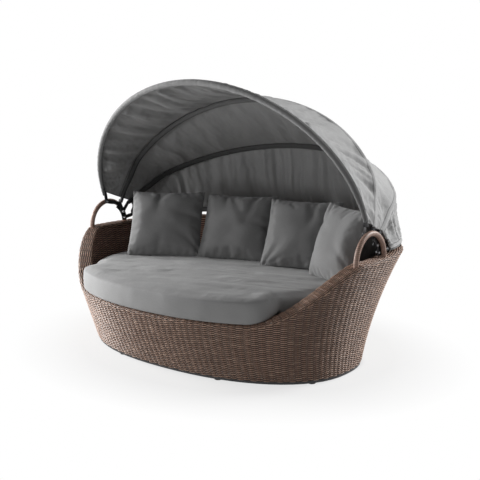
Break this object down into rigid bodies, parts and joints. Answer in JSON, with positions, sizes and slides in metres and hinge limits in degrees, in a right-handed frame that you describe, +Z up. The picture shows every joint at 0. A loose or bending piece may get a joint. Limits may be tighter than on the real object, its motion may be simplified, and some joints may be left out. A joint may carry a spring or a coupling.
{
  "type": "outdoor daybed with folding canopy",
  "caption": "Oval woven daybed with flared walls, a seat cushion, loose back cushions and a fabric canopy on bows that fold back over the rear rim.",
  "frame": {"origin": "bottom centre of the bounding box, on the floor", "axes": "+X to the right seen from the front, across the daybed; -Y to the open front; +Z up"},
  "size_m": [1.9272, 1.5042, 1.4948],
  "materials": {
    "frame_steel": "matt black coating",
    "slat_steel": "matt dark grey coating",
    "glide_plastic": "moulded, dull",
    "weave": "woven flat strands of mixed brown with pale grains",
    "rim_wrap": "wrapped flat strands of mid brown",
    "bow_steel": "satin black coating",
    "bolt_steel": "bright zinc",
    "canopy_cloth": "plain woven grey cloth, lightly creased",
    "seat_fabric": "plain woven mid grey cloth",
    "back_fabric": "plain woven dark grey cloth"
  },
  "bodies": {
    "daybed": {"tube_frame": "frame_steel", "glide_1": "glide_plastic", "glide_2": "glide_plastic", "glide_3": "glide_plastic", "glide_4": "glide_plastic", "glide_5": "glide_plastic", "glide_6": "glide_plastic", "glide_7": "glide_plastic", "glide_8": "glide_plastic", "seat_slat_1": "slat_steel", "seat_slat_2": "slat_steel", "seat_slat_3": "slat_steel", "seat_slat_4": "slat_steel", "seat_slat_5": "slat_steel", "seat_slat_6": "slat_steel", "seat_slat_7": "slat_steel", "seat_slat_8": "slat_steel", "seat_slat_9": "slat_steel", "outer_weave": "weave", "inner_weave": "weave", "rim_band": "rim_wrap", "arch_left": "rim_wrap", "arch_right": "rim_wrap", "hinge_plate_left": "frame_steel", "pivot_bolt_left": "bolt_steel", "rear_bow_bolt_left": "bolt_steel", "pivot_nut_left": "bolt_steel", "rear_bow_nut_left": "bolt_steel", "hinge_plate_right": "frame_steel", "pivot_bolt_right": "bolt_steel", "rear_bow_bolt_right": "bolt_steel", "pivot_nut_right": "bolt_steel", "rear_bow_nut_right": "bolt_steel", "rear_bow": "bow_steel", "rear_bow_clip_1": "bow_steel", "rear_bow_clip_2": "bow_steel", "rear_bow_clip_3": "bow_steel", "rear_bow_clip_4": "bow_steel", "seat_cushion": "seat_fabric", "back_cushion_1": "back_fabric", "back_cushion_2": "back_fabric", "back_cushion_3": "back_fabric", "back_cushion_4": "back_fabric", "back_cushion_5": "back_fabric"},
    "third_bow": {"bow_3": "bow_steel", "canopy_rear": "canopy_cloth"},
    "second_bow": {"bow_2": "bow_steel", "canopy_middle": "canopy_cloth"},
    "front_bow": {"bow_1": "bow_steel", "bow_1_foot_left": "bow_steel", "bow_1_foot_right": "bow_steel", "bow_1_rivet_left": "bolt_steel", "bow_1_rivet_right": "bolt_steel", "canopy_front": "canopy_cloth"}
  },
  "joints": [
    {"name": "third_bow_fold", "type": "hinge", "parent": "daybed", "child": "third_bow", "pos_m": [0, 0.01309, 0.67818], "axis": [-1, 0, 0], "range_deg": [0, 30], "deforming": ["canopy_rear"]},
    {"name": "second_bow_fold", "type": "hinge", "parent": "third_bow", "child": "second_bow", "pos_m": [0, 0.01309, 0.67818], "axis": [-1, 0, 0], "range_deg": [0, 36], "deforming": ["canopy_middle"]},
    {"name": "front_bow_fold", "type": "hinge", "parent": "second_bow", "child": "front_bow", "pos_m": [0, 0.01309, 0.67818], "axis": [-1, 0, 0], "range_deg": [0, 40], "deforming": ["canopy_front"]}
  ],
  "couplings": [
    {"joint": "second_bow_fold", "follows": "third_bow_fold", "ratio": 1.2},
    {"joint": "front_bow_fold", "follows": "third_bow_fold", "ratio": 1.3333}
  ]
}
